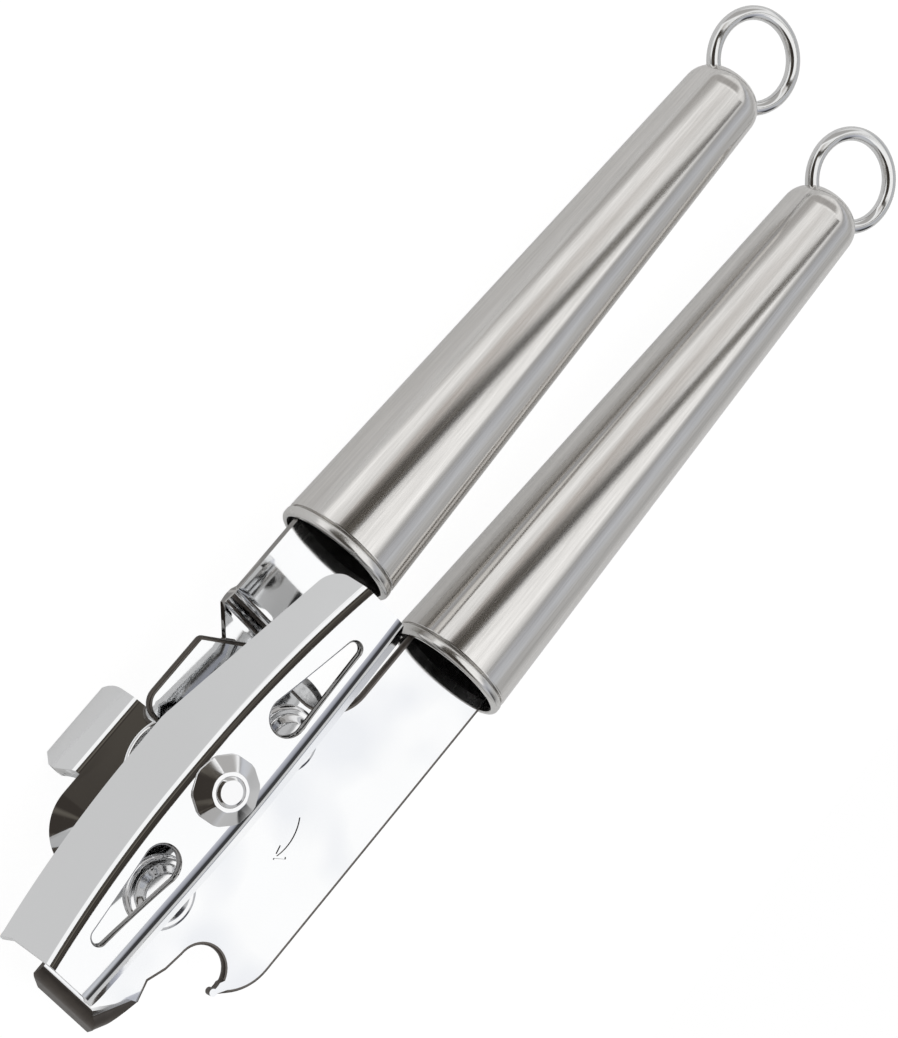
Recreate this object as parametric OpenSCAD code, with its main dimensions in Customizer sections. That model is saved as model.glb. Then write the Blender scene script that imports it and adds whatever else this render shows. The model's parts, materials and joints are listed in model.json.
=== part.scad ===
// Manual can opener: two levers with tube handles, a butterfly turn key
// with its feed wheel, and a free cutting wheel. Millimetres, +Z up.
// +Y runs from the head towards the hang loops and the key side faces up.

/* [Plates] */
// Thickness of both lever plates
plate_t = 1.5; // [1.3:0.1:1.7]
// Gap between the lower plate's back and the upper plate's front
plate_gap = 1.2; // [1.1:0.1:1.4]
// Right edge of the lower plate, from the drive shaft
plate_right = 31.8; // [31.5:0.1:34]
// Left edge of the lower plate's lobe, from the drive shaft
lobe_left = 12; // [11:0.1:13]
// Radius of the bottle-cap notch
notch_r = 3.85; // [3.4:0.05:4]
// Distance from the drive shaft to the start of the rolled nose
nose_y = 33.5; // [33:0.5:36]
// Straight depth of the nose flange below its roll
nose_depth = 2.4; // [2:0.1:3.4]
// Slope of the upper plate's dished edge, in degrees
dish_angle = 28; // [20:1:30]
// Length of the rim tab along the plate
tab_length = 13.9; // [10:0.1:14]
// Slant depth of the rim tab
tab_depth = 5.7; // [4:0.1:5.8]

/* [Handles] */
// Distance from the drive shaft to the handle mouths
mouth_y = 39.2; // [39:0.2:44]
// Length of a handle from its mouth to its closed end
handle_length = 100; // [86:0.5:116]
// Corner radius of a handle's closed end
end_round = 4.5; // [4:0.1:5]
// Outer radius of a handle tube at its mouth
tube_r = 9.9; // [9.8:0.1:10.6]
// Outer radius of a handle tube at its round end
tube_end_r = 6.5; // [6.2:0.1:7.2]
// Wall of a handle tube
tube_wall = 0.9; // [0.8:0.05:1]
// Distance between the two handle axes
handle_spacing = 26.6; // [26.6:0.1:28]
// Length of the bead collar at a mouth
collar_length = 1.6; // [1.2:0.1:2.4]
// Length of the insert that holds a tang
plug_length = 14; // [10:1:20]
// Radius of a tang's cross pin
tang_pin_r = 1.5; // [1:0.1:2]

/* [Hang loops] */
// Radius of the loop wire
wire_r = 1.15; // [1:0.05:1.3]
// Radius of a hang loop to the middle of its wire
loop_r = 7.45; // [7:0.05:7.8]

/* [Turn key] */
// Half length of the key
key_half = 35.3; // [32:0.1:36]
// Half width of the key's flat web at its middle
key_mid_half = 4.7; // [4.4:0.1:5.4]
// Half width of the key's flat web at its ends
key_end_half = 2.8; // [2.6:0.1:4]
// Sheet thickness of the key
key_t = 1.2; // [1:0.05:1.4]
// Height of the web's middle above the lower plate
key_height = 15; // [14.5:0.5:17]
// Rise of the web from its middle to its ends
key_bow = 2; // [0:0.1:3]
// Slant depth of a flange below its bend
flange_depth = 8.8; // [7:0.1:9.2]
// Outward lean of a flange, in degrees
flange_lean = 32; // [20:1:36]
// Radius of the round inner end of a slot
slot_wide_r = 2.8; // [2.2:0.1:3.2]
// Radius of the outer end of a slot
slot_narrow_r = 1.1; // [0.8:0.1:1.4]

/* [Drive] */
// Radius of the drive shaft in its bushing
shaft_r = 3.2; // [2.8:0.1:3.3]
// Radius of the shaft's ends, in the feed wheel and in the key
shaft_end_r = 2.3; // [2:0.1:2.5]
// Radius of the bushing's neck
bushing_r = 4.2; // [4:0.05:4.25]
// Radius of the bushing's flange
bushing_flange_r = 8.3; // [7:0.1:8.6]
// Radius of the feed wheel over its teeth
feed_r = 6.8; // [6:0.1:6.9]
// Thickness of the feed wheel
feed_t = 3.6; // [3:0.1:3.8]
// Number of feed wheel teeth
feed_teeth = 18; // [12:1:24]
// Radius of the key boss at its foot
boss_r = 5.6; // [5:0.1:5.8]
// Height of the key boss
boss_h = 1.9; // [1.5:0.1:2.4]

/* [Pivots] */
// Radius of the hinge rivet's shank
hinge_r = 3; // [2.5:0.1:3.5]
// Radius of the hinge rivet's head
hinge_head_r = 5.7; // [5:0.1:6]
// Radius of the cutting wheel
cutter_r = 10.2; // [9:0.1:10.3]
// Thickness of the cutting wheel
cutter_t = 2.4; // [2:0.1:3]
// Radius of the cutter stud's head
cutter_head_r = 5.2; // [4.5:0.1:6]
// Radius that the cutting wheel turns on
cutter_axle_r = 3; // [2.6:0.1:3.4]

/* [Fits] */
// Radial running clearance of shafts and pins
run_gap = 0.05; // [0.02:0.01:0.08]
// Gap between faces that slide past each other
face_gap = 0.1; // [0.05:0.01:0.15]
// Visible seam between a handle's collar and its tube
seam = 0.25; // [0.15:0.05:0.4]

/* [Hidden] */
$fn = 96;
steel = [0.78, 0.79, 0.8];
satin = [0.7, 0.69, 0.66];
bright = [0.88, 0.88, 0.89];
dark = [0.35, 0.34, 0.32];
eps = 0.01;
tall = 40;

// Places in plan, measured from the drive shaft's axis; height 0 is the
// lower plate's front face
hinge_at = [9.6, -14.9];
cutter_at = [9.3, 14.5];
upper_axis_x = -3.5;
lower_axis_x = upper_axis_x + handle_spacing;
axis_z = -plate_t / 2;
upper_front = -plate_t - plate_gap;
upper_back = upper_front - plate_t;

// Upper plate's dish and rim tab
dish_at = [-2.2, -13.3];
dish_in_r = 3.3;
dish_out_r = 7.9;
wing_out_r = 8.8;
tab_lean = 32;
tab_splay = 1.5;
tab_out_r = wing_out_r + tab_depth * sin(tab_lean);
wing_z = upper_front - (wing_out_r - dish_in_r) * tan(dish_angle);
tab_low = wing_z - tab_depth * cos(tab_lean);
wing_top_y = 4.2;

// Handles and loops
collar_lip = 0.1;
collar_r = tube_r + collar_lip;
collar_bore_r = tube_r - tube_wall;
tube_y = mouth_y + collar_length + seam;
end_y = mouth_y + handle_length;
dome_y = end_y - end_round;
loop_cover = 2.75;
loop_y = end_y + loop_r - loop_cover;
plug_y = mouth_y + 12.8;
tang_end_y = plug_y + plug_length - 1;

// Nose flange of the lower plate
lip_r = 2.6;
lip_roll = 80;
lip_flare = 90 - lip_roll;
lip_reach = lip_r * sin(lip_roll) + nose_depth * sin(lip_flare);
lip_fall = lip_r * (1 - cos(lip_roll)) + nose_depth * cos(lip_flare);

// The whole part's box, and the move that puts its origin under the middle
min_x = min(dish_at[0] - tab_out_r, upper_axis_x - collar_r);
max_x = max(plate_right, lower_axis_x + collar_r);
min_y = -nose_y - lip_reach;
max_y = loop_y + loop_r + wire_r;
ground = axis_z - collar_r;
module placed() {
    translate([-(min_x + max_x) / 2, -(min_y + max_y) / 2, -ground]) children();
}

// ---------- outlines of bent sheet ----------
function arc(c, r, a0, a1, n = 12) =
    [for (i = [0:n]) let (a = a0 + (a1 - a0) * i / n) c + r * [cos(a), sin(a)]];
function side(p, q) = let (d = (q - p) / norm(q - p)) [d[1], -d[0]];
function back(path, i, t) =
    let (a = i == 0 ? side(path[0], path[1]) : side(path[i - 1], path[i]),
         b = i == len(path) - 1 ? a : side(path[i], path[i + 1]))
    path[i] + t * (a + b) / (1 + a * b);
// A sheet of thickness t on the right-hand side of a path
function sheet(path, t) = concat(path, [for (i = [len(path) - 1:-1:0]) back(path, i, t)]);
// The corner b of the path a, b, c eased over the length r on both sides
function eased(a, b, c, r, n = 6) =
    let (p = b + r * (a - b) / norm(a - b), q = b + r * (c - b) / norm(c - b))
    [for (i = [0:n]) let (t = i / n) (1 - t) * (1 - t) * p + 2 * t * (1 - t) * b + t * t * q];

// ---------- lower plate ----------
tang_play = 0.4;
tang_half = collar_bore_r - tang_play;
tang_end_half = tang_half - 1;
lobe_low = 2.9;
lobe_high = 16.5;
lobe_corner_r = 3;
neck_y = 20.7;
neck_fillet = 7;
relief_r = bushing_r + 0.8;
hook_r = 8.9;
hook_at = [plate_right + 0.1 - hook_r, -12.3];
notch_at = [hook_at[0] + 0.1, hook_at[1] - 6.9];
hook_tip_r = 0.62;
lower_left = 3;
nose_corner = [12.5, -nose_y];
nose_side = [14.3, -nose_y + 3.1];
nose_right = [18.6, -nose_y + 4.8];

module tang_2d(axis_x, from_y) {
    polygon([[axis_x - tang_half, from_y], [axis_x + tang_half, from_y],
             [axis_x + tang_half, mouth_y + 1], [axis_x + tang_end_half, tang_end_y],
             [axis_x - tang_end_half, tang_end_y], [axis_x - tang_half, mouth_y + 1]]);
}

module lower_plate_2d() {
    tang_left = lower_axis_x - tang_half;
    tang_right = lower_axis_x + tang_half;
    difference() {
        union() {
            polygon([[lower_left, -nose_y], nose_corner, nose_side, nose_right,
                     [nose_right[0] - 0.9, nose_right[1] + 3.2], [nose_right[0] + 0.2, nose_right[1] + 6.2],
                     [notch_at[0] - notch_r + 0.1, notch_at[1] + 0.7], [notch_at[0], hook_at[1] - 2],
                     [hook_at[0] + hook_r, hook_at[1]], [plate_right, neck_y],
                     [tang_right, mouth_y], [tang_left, mouth_y],
                     [tang_left, neck_y], [-5.4, neck_y], [-lobe_left, lobe_high],
                     [-lobe_left, lobe_low + lobe_corner_r], [-lobe_left + lobe_corner_r, lobe_low],
                     [0, lobe_low], [lower_left, 0]]);
            translate([-lobe_left + lobe_corner_r, lobe_low + lobe_corner_r]) circle(lobe_corner_r);
            difference() {
                translate([tang_left - neck_fillet, neck_y - eps]) square(neck_fillet + eps);
                translate([tang_left - neck_fillet, neck_y + neck_fillet]) circle(neck_fillet);
            }
            intersection() {
                translate(hook_at) circle(hook_r);
                translate([notch_at[0] - 1.5, hook_at[1] - hook_r]) square(2 * hook_r);
            }
            tang_2d(lower_axis_x, mouth_y - eps);
        }
        translate(notch_at) circle(notch_r);
        translate([lower_axis_x, plug_y + plug_length / 2]) circle(tang_pin_r);
        circle(relief_r);
    }
    translate([notch_at[0] + 3.95, notch_at[1] - 1]) circle(hook_tip_r);
}

// The engraved turning arrow, a plain curved groove with an open head
arrow_at = [13.4, 3.2];
arrow_r = 7.5;
arrow_low = -20;
arrow_high = 36;
groove_w = 0.36;
groove_deep = 0.2;
module arrow_2d() {
    tip = arrow_at + arrow_r * [cos(arrow_low), sin(arrow_low)];
    reach = arrow_r + 3;
    intersection() {
        translate(arrow_at) difference() {
            circle(arrow_r + groove_w / 2);
            circle(arrow_r - groove_w / 2);
        }
        translate(arrow_at) polygon([[0, 0], reach * [cos(arrow_low), sin(arrow_low)], [reach, 0],
                                     reach * [cos(arrow_high), sin(arrow_high)]]);
    }
    for (a = [arrow_low + 55, arrow_low + 125])
        translate(tip) rotate(a) translate([-groove_w, -groove_w / 2]) square([2 + groove_w, groove_w]);
}

// One straight run of the rolled nose along +X, rolling over towards -Y
module lip_run(length, widen = 1) {
    roll = arc([0, -lip_r], lip_r, 90, 90 - lip_roll);
    edge = roll[len(roll) - 1] + nose_depth * [sin(lip_flare), -cos(lip_flare)];
    outline = sheet(concat([[-1, 0]], roll, [edge]), plate_t);
    rotate([90, 0, -90]) mirror([0, 0, 1]) linear_extrude(length)
        polygon([for (p = outline) [p[0] * widen, p[1]]]);
}

module lower_plate() {
    mitre = -31;
    side_turn = atan2(nose_side[1] - nose_corner[1], nose_side[0] - nose_corner[0]);
    widen = cos(mitre - side_turn + 90) / -sin(mitre);
    point = nose_corner + lip_reach / -sin(mitre) * [cos(mitre), sin(mitre)];
    heel = 4;
    lap = 0.06;
    past = lap * [sin(mitre), -cos(mitre)];
    placed() color(bright) {
        difference() {
            translate([0, 0, -plate_t]) linear_extrude(plate_t) lower_plate_2d();
            translate([0, 0, -groove_deep]) linear_extrude(tall) arrow_2d();
            translate([hinge_at[0], hinge_at[1], -tall / 2]) cylinder(r = hinge_r, h = tall);
            translate([cutter_at[0], cutter_at[1], -tall / 2]) cylinder(r = shaft_end_r, h = tall);
        }
        intersection() {
            translate([lower_left, -nose_y, 0]) lip_run(20);
            translate([0, 0, -tall / 2]) linear_extrude(tall)
                polygon([[lower_left, -nose_y + 1], [nose_corner[0], -nose_y + 1], nose_corner,
                         2 * point - nose_corner, [lower_left, 2 * point[1] - nose_corner[1]]]);
            translate([0, -nose_y + 5, 0]) rotate([90, 0, 0]) linear_extrude(20)
                polygon([[lower_left, 1], [lower_left, -1.2], [lower_left + heel, -lip_fall - 0.4],
                         [point[0] + 5, -lip_fall - 1], [point[0] + 5, 1]]);
        }
        intersection() {
            translate([nose_corner[0], nose_corner[1], -lap / 2]) rotate(side_turn)
                translate([-20, lap, 0]) lip_run(40, widen);
            translate([0, 0, -tall / 2]) linear_extrude(tall)
                polygon([nose_corner + past, [point[0] + lap / sin(mitre), point[1] + 0.03], point,
                         nose_right, nose_side, nose_side + [-1, 0.5], nose_corner + [-1, 0.5]]);
            translate([0, -nose_y - 10, 0]) rotate([90, 0, 180]) linear_extrude(20)
                polygon([[-nose_corner[0] + 3, 1], [-nose_corner[0] + 3, -lip_fall - 1],
                         [-point[0], -lip_fall - 0.4], [-nose_right[0] - 1, -plate_t], [-nose_right[0] - 1, 1]]);
        }
    }
}

// ---------- upper plate ----------
joggle_y = 25.2;
joggle_run = 2.1;
upper_left = -7.4;
joggle_left = upper_axis_x - tang_half + 0.8;
hinge_pad_r = 6.8;
tab_corner_r = 2.6;

module upper_plate_2d() {
    tang_left = upper_axis_x - tang_half;
    tang_right = upper_axis_x + tang_half;
    difference() {
        union() {
            polygon(concat([[3.5, 9], [3.5, 21], [tang_right, joggle_y - joggle_run],
                            [joggle_left, joggle_y - joggle_run], [upper_left, 19.5], [upper_left, wing_top_y + 0.8],
                            [dish_at[0] - dish_in_r + 1.2, wing_top_y - 0.6]],
                           arc(dish_at, dish_in_r - 1.2, 180, 270, 4),
                           [[hinge_at[0] - 2.6, hinge_at[1] - 6.2], hinge_at,
                            [hinge_at[0] + 6.1, hinge_at[1] + 3], [8, -4], [6.5, 3]]));
            translate(hinge_at) circle(hinge_pad_r);
        }
        circle(bushing_r);
        translate(hinge_at) circle(hinge_r + run_gap);
    }
}

module upper_plate() {
    flat_in = [dish_in_r - 2, upper_front];
    dish_in = [dish_in_r, upper_front];
    dish_out = [dish_out_r, upper_front - (dish_out_r - dish_in_r) * tan(dish_angle)];
    wing_out = [wing_out_r, wing_z];
    tab_out = [tab_out_r, tab_low];
    wing = concat([flat_in], eased(flat_in, dish_in, dish_out, 0.9),
                  eased(dish_in, wing_out, tab_out, 1.5), [tab_out]);
    dish = concat([flat_in], eased(flat_in, dish_in, dish_out, 0.9), [dish_out]);
    low = [joggle_y - joggle_run - 1.6, upper_front];
    low_bend = [joggle_y - joggle_run, upper_front];
    high_bend = [joggle_y, 0];
    high = [joggle_y + 2, 0];
    joggle = concat([low], eased(low, low_bend, high_bend, 1), eased(low_bend, high_bend, high, 1), [high]);
    tab_end = wing_top_y - tab_length;
    foot_z = tab_low - 0.2;
    placed() color(steel) difference() {
        upper_sheet(wing, dish, joggle, tab_end, foot_z);
        translate([0, 0, upper_back - 1]) cylinder(r = bushing_r, h = plate_t + 2);
    }
}

module upper_sheet(wing, dish, joggle, tab_end, foot_z) {
    round_z = foot_z + tab_corner_r;
    union() {
        translate([0, 0, upper_back]) linear_extrude(plate_t) upper_plate_2d();
        translate([0, 0, -plate_t]) linear_extrude(plate_t) difference() {
            tang_2d(upper_axis_x, joggle_y + 1.2);
            translate([upper_axis_x, plug_y + plug_length / 2]) circle(tang_pin_r);
        }
        intersection() {
            translate([upper_axis_x - tang_half, 0, 0]) rotate([90, 0, 90]) linear_extrude(2 * tang_half)
                polygon(sheet(joggle, plate_t));
            translate([0, 0, -tall / 2]) linear_extrude(tall)
                polygon([[upper_axis_x - tang_half, joggle_y], [joggle_left, joggle_y - joggle_run],
                         [upper_left, 19.5], [upper_axis_x + tang_half, 19.5],
                         [upper_axis_x + tang_half, joggle_y + 3], [upper_axis_x - tang_half, joggle_y + 3]]);
        }
        intersection() {
            translate([dish_at[0], wing_top_y, 0]) mirror([1, 0, 0]) rotate([90, 0, 0])
                linear_extrude(tab_length + tab_splay) polygon(sheet(wing, plate_t));
            rotate([90, 0, 90]) translate([0, 0, -tall / 2]) linear_extrude(tall) union() {
                polygon([[tab_end, 1], [tab_end, wing_z], [tab_end - tab_splay, round_z],
                         [tab_end - tab_splay, round_z - 1], [tab_end - tab_splay + 1.6, foot_z],
                         [wing_top_y - tab_corner_r, foot_z], [wing_top_y - tab_corner_r, round_z],
                         [wing_top_y, round_z], [wing_top_y, 1]]);
                translate([wing_top_y - tab_corner_r, round_z]) circle(tab_corner_r);
            }
        }
        translate([dish_at[0], tab_end, 0]) mirror([1, 0, 0]) rotate([90, 0, 0])
            linear_extrude(tab_end - dish_at[1]) polygon(sheet(dish, plate_t));
        translate([dish_at[0], dish_at[1], 0]) rotate(180) rotate_extrude(angle = 108)
            polygon(sheet(dish, plate_t));
    }
}

// ---------- handles ----------
function tube_r_at(y) = tube_r - (tube_r - tube_end_r) * (y - tube_y) / (dome_y - tube_y);

module along(axis_x) {
    placed() translate([axis_x, 0, axis_z]) rotate([-90, 0, 0]) children();
}

module loop_solid() {
    translate([0, 0, loop_y]) rotate([90, 0, 0]) rotate_extrude() translate([loop_r, 0]) circle(wire_r);
}

module handle_tube(axis_x) {
    along(axis_x) color(satin) difference() {
        union() {
            rotate_extrude() polygon([[tube_r - tube_wall, tube_y], [tube_r, tube_y], [tube_end_r, dome_y],
                                      [tube_end_r - tube_wall, dome_y]]);
            rotate_extrude() translate([tube_end_r - end_round, dome_y]) intersection() {
                difference() {
                    circle(end_round);
                    circle(end_round - tube_wall);
                }
                square(end_round);
            }
            translate([0, 0, end_y - tube_wall]) cylinder(r = tube_end_r - end_round, h = tube_wall);
        }
        loop_solid();
    }
}

module handle_collar(axis_x) {
    bead = 0.7;
    along(axis_x) color(bright) rotate_extrude() {
        difference() {
            union() {
                translate([collar_bore_r, mouth_y]) square([collar_r - collar_bore_r - bead, collar_length]);
                translate([collar_bore_r, mouth_y + bead])
                    square([collar_r - collar_bore_r, collar_length - 1.4 * bead]);
                translate([collar_r - bead, mouth_y + bead]) circle(bead);
                translate([collar_r - bead, mouth_y + collar_length - 0.4 * bead])
                    intersection() {
                        scale(0.4) circle(bead);
                        square(bead);
                    }
                translate([collar_bore_r, mouth_y + collar_length - eps])
                    square([tube_wall - 0.3, seam + eps]);
                translate([collar_r - bead - eps, mouth_y + bead]) square([eps * 2, collar_length - bead]);
            }
        }
    }
}

module handle_plug(axis_x) {
    difference() {
        along(axis_x) color(dark) difference() {
            rotate_extrude()
                polygon([[0, plug_y], [tube_r_at(plug_y) - tube_wall, plug_y],
                         [tube_r_at(plug_y + plug_length) - tube_wall, plug_y + plug_length],
                         [0, plug_y + plug_length]]);
            translate([0, 0, plug_y + plug_length / 2]) rotate([90, 0, 0])
                translate([0, 0, -tall / 2]) cylinder(r = tang_pin_r, h = tall);
        }
        placed() translate([0, 0, -plate_t]) linear_extrude(plate_t) tang_2d(axis_x, mouth_y);
    }
}

module tang_pin(axis_x) {
    pin_half = 7.5;
    placed() color(steel) translate([axis_x, plug_y + plug_length / 2, axis_z - pin_half])
        cylinder(r = tang_pin_r, h = 2 * pin_half);
}

module hang_loop(axis_x) {
    along(axis_x) color(bright) loop_solid();
}

module lower_handle_tube() handle_tube(lower_axis_x);
module upper_handle_tube() handle_tube(upper_axis_x);
module lower_handle_collar() handle_collar(lower_axis_x);
module upper_handle_collar() handle_collar(upper_axis_x);
module lower_handle_plug() handle_plug(lower_axis_x);
module upper_handle_plug() handle_plug(upper_axis_x);
module lower_tang_pin() tang_pin(lower_axis_x);
module upper_tang_pin() tang_pin(upper_axis_x);
module lower_hang_loop() hang_loop(lower_axis_x);
module upper_hang_loop() hang_loop(upper_axis_x);

// ---------- turn key ----------
key_bend_r = 2.2;
key_bend_n = 6;
key_flat = 6.2;
key_round = 3;
key_square = 0.8;
flange_taper = 3;
taper_from = 3;
slot_in = [0.2, 14];
slot_out = [0.85, 27.6];
key_run = (key_half - key_round - key_flat) / 9;
key_ys = concat([for (i = [6:-1:1]) -(key_half - key_round + key_round * sin(15 * i))],
                [for (i = [9:-1:0]) -(key_flat + key_run * i)],
                [for (i = [0:9]) key_flat + key_run * i],
                [for (i = [1:6]) key_half - key_round + key_round * sin(15 * i)]);

function web_half(y) = key_end_half + (key_mid_half - key_end_half) * (1 - pow(y / key_half, 2));
function web_z(y) = key_height + key_bow * pow(max(0, abs(y) - key_flat) / (key_half - key_flat), 2);
// Flange depth: full up to the middle, then tapered to a rounded rear corner
function flange_at(y) =
    let (s = max(0, y - (key_half - key_round)), t = max(0, (y - taper_from) / (key_half - taper_from)))
    flange_depth - flange_taper * (1 - pow(1 - t, 2)) - key_round
        + sqrt(max(0, key_round * key_round - s * s));
// Half a cross-section at depth t inside the sheet, from the web to the flange's edge
function key_side(y, depth, t) = concat(
    [for (i = [0:key_bend_n]) let (a = (90 - flange_lean) * i / key_bend_n)
        [web_half(y) + (key_bend_r - t) * sin(a), -key_bend_r + (key_bend_r - t) * cos(a)]],
    [let (a = 90 - flange_lean)
        [web_half(y) + (key_bend_r - t) * sin(a), -key_bend_r + (key_bend_r - t) * cos(a)]
        + depth * [cos(a), -sin(a)]]);
function flip(path) = [for (i = [len(path) - 1:-1:0]) path[i]];
function mirrored(path) = [for (p = path) [-p[0], p[1]]];
function key_ring(y) = concat(flip(key_side(y, flange_at(-y), 0)), mirrored(key_side(y, flange_at(y), 0)),
                              flip(mirrored(key_side(y, flange_at(y), key_t))),
                              key_side(y, flange_at(-y), key_t));
ring_n = 4 * (key_bend_n + 2);
rings_n = len(key_ys);

module key_sheet() {
    half_n = ring_n / 2;
    polyhedron(
        points = [for (y = key_ys) let (ring = key_ring(y)) for (i = [0:ring_n - 1])
            let (square_end = (y < -key_half + eps && (i == half_n - 1 || i == half_n)) ? -key_square
                            : (y > key_half - eps && (i == 0 || i == ring_n - 1)) ? key_square : 0)
            [ring[i][0], y + square_end, ring[i][1] + web_z(y)]],
        faces = concat(
            [for (j = [0:rings_n - 2]) for (i = [0:ring_n - 1]) let (k = (i + 1) % ring_n)
                [j * ring_n + i, j * ring_n + k, (j + 1) * ring_n + k, (j + 1) * ring_n + i]],
            [for (i = [0:half_n - 2]) [ring_n - 1 - i, ring_n - 2 - i, i + 1, i]],
            [for (i = [0:half_n - 2]) let (b = (rings_n - 1) * ring_n)
                [b + i, b + i + 1, b + ring_n - 2 - i, b + ring_n - 1 - i]]));
}

// A slot round at both ends, its straight sides tangent to both
module teardrop_2d() {
    d = slot_out - slot_in;
    lead = atan2(d[1], d[0]);
    a = acos((slot_wide_r - slot_narrow_r) / norm(d));
    translate(slot_in) circle(slot_wide_r);
    translate(slot_out) circle(slot_narrow_r);
    polygon([for (k = [[slot_in, slot_wide_r, a], [slot_out, slot_narrow_r, a],
                       [slot_out, slot_narrow_r, -a], [slot_in, slot_wide_r, -a]])
        k[0] + k[1] * [cos(lead + k[2]), sin(lead + k[2])]]);
}

module turn_key() {
    placed() color(bright) difference() {
        key_sheet();
        translate([0, 0, key_height - 3]) linear_extrude(tall) {
            teardrop_2d();
            rotate(180) teardrop_2d();
            circle(shaft_end_r);
        }
    }
}

// ---------- drive ----------
bushing_top = 3;
washer_t = 0.8;
shoulder_r = 4.8;
feed_top = -5.4;
peen_r = 3.6;
peen_h = 1.2;
boss_top_r = 3;
key_back = key_height - key_t;
shoulder_z = bushing_top + face_gap + washer_t;
feed_low = feed_top - feed_t;

module key_boss() {
    facets = 10;
    placed() color(dark) translate([0, 0, key_height]) difference() {
        intersection() {
            cylinder(r1 = boss_r, r2 = boss_top_r, h = boss_h);
            rotate(9) cylinder(r = boss_r + 0.1, h = boss_h, $fn = facets);
        }
        translate([0, 0, -1]) cylinder(r = shaft_end_r, h = boss_h + 2);
    }
}

module key_washer() {
    washer_r = 5.6;
    placed() color(steel) rotate_extrude()
        polygon([[shaft_r, shoulder_z - washer_t], [washer_r, shoulder_z - washer_t],
                 [washer_r, shoulder_z - 0.3], [shoulder_r, shoulder_z], [shaft_r, shoulder_z]]);
}

module drive_shaft() {
    placed() color(steel) rotate_extrude()
        polygon([[0, feed_low - peen_h], [peen_r - 0.8, feed_low - peen_h], [peen_r, feed_low - 0.4],
                 [peen_r, feed_low], [shaft_end_r, feed_low], [shaft_end_r, feed_top], [shaft_r, feed_top],
                 [shaft_r, shoulder_z], [shoulder_r, shoulder_z], [shoulder_r, key_back],
                 [shaft_end_r, key_back], [shaft_end_r, key_height + boss_h],
                 [shaft_end_r - 0.5, key_height + boss_h + 0.35], [0, key_height + boss_h + 0.35]]);
}

module drive_bushing() {
    flange_t = 1;
    placed() color(steel) rotate_extrude()
        polygon([[shaft_r + run_gap, feed_top + face_gap], [bushing_r, feed_top + face_gap],
                 [bushing_r, upper_front], [bushing_flange_r, upper_front],
                 [bushing_flange_r, upper_front + flange_t - 0.3],
                 [bushing_flange_r - 0.3, upper_front + flange_t], [bushing_r, upper_front + flange_t],
                 [bushing_r, bushing_top], [shaft_r + run_gap, bushing_top]]);
}

module feed_wheel() {
    tooth_deep = 0.9;
    placed() color(steel) translate([0, 0, feed_low]) difference() {
        linear_extrude(feed_t) polygon([for (i = [0:feed_teeth - 1]) let (a = 360 / feed_teeth)
            for (k = [[0, 0], [0.25, 0], [0.5, tooth_deep], [0.75, tooth_deep]])
                (feed_r - k[1]) * [cos(a * (i + k[0])), sin(a * (i + k[0]))]]);
        translate([0, 0, -1]) cylinder(r = shaft_end_r, h = feed_t + 2);
    }
}

// ---------- pivots ----------
module hinge_rivet() {
    head_h = 2.2;
    rear_r = 4.5;
    rear_h = 1.5;
    rear_z = upper_back - face_gap;
    placed() color(steel) translate([hinge_at[0], hinge_at[1], 0]) rotate_extrude()
        polygon([[0, rear_z - rear_h], [rear_r - 0.6, rear_z - rear_h], [rear_r, rear_z - rear_h + 0.6],
                 [rear_r, rear_z], [hinge_r, rear_z], [hinge_r, 0], [hinge_head_r, 0],
                 [hinge_head_r, 0.6], [hinge_head_r - 0.5, 1.1], [hinge_head_r - 1.3, 1.1],
                 [hinge_head_r - 2.5, head_h], [0, head_h]]);
}

module hinge_washer() {
    washer_r = 5.6;
    placed() color(steel) translate([hinge_at[0], hinge_at[1], upper_front + face_gap]) difference() {
        cylinder(r = washer_r, h = plate_gap - face_gap);
        translate([0, 0, -1]) cylinder(r = hinge_r, h = plate_gap + 2);
    }
}

hub_r = 4;
cutter_top = -4.8;
cutter_low = cutter_top - cutter_t;
retainer_t = 1;
module cutter_stud() {
    end_low = cutter_low - face_gap;
    placed() color(steel) translate([cutter_at[0], cutter_at[1], 0]) rotate_extrude()
        polygon([[0, end_low - retainer_t - 0.3], [shaft_end_r - 0.6, end_low - retainer_t - 0.3],
                 [shaft_end_r - 0.3, end_low - retainer_t], [shaft_end_r - 0.3, end_low],
                 [cutter_axle_r, end_low], [cutter_axle_r, cutter_top + face_gap],
                 [hub_r, cutter_top + face_gap], [hub_r, -plate_t], [shaft_end_r, -plate_t],
                 [shaft_end_r, 0], [cutter_head_r, 0], [cutter_head_r, 0.6], [cutter_head_r - 0.5, 1.1],
                 [cutter_head_r - 1.3, 1.1], [cutter_head_r - 2.4, 2], [0, 2]]);
}

module cutting_wheel() {
    edge_z = cutter_top - 0.7;
    placed() color(steel) translate([cutter_at[0], cutter_at[1], 0]) rotate_extrude()
        polygon([[cutter_axle_r + run_gap, cutter_low], [cutter_r - 3, cutter_low],
                 [cutter_r, edge_z], [cutter_r - 1.2, cutter_top], [cutter_axle_r + run_gap, cutter_top]]);
}

module cutter_washer() {
    washer_r = 4.4;
    placed() color(steel) translate([cutter_at[0], cutter_at[1], cutter_low - face_gap - retainer_t])
        difference() {
            cylinder(r = washer_r, h = retainer_t);
            translate([0, 0, -1]) cylinder(r = shaft_end_r - 0.3, h = retainer_t + 2);
        }
}

lower_plate();
upper_plate();
lower_handle_tube();
upper_handle_tube();
lower_handle_collar();
upper_handle_collar();
lower_handle_plug();
upper_handle_plug();
lower_tang_pin();
upper_tang_pin();
lower_hang_loop();
upper_hang_loop();
turn_key();
key_boss();
key_washer();
drive_shaft();
drive_bushing();
feed_wheel();
hinge_rivet();
hinge_washer();
cutter_stud();
cutting_wheel();
cutter_washer();
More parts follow.
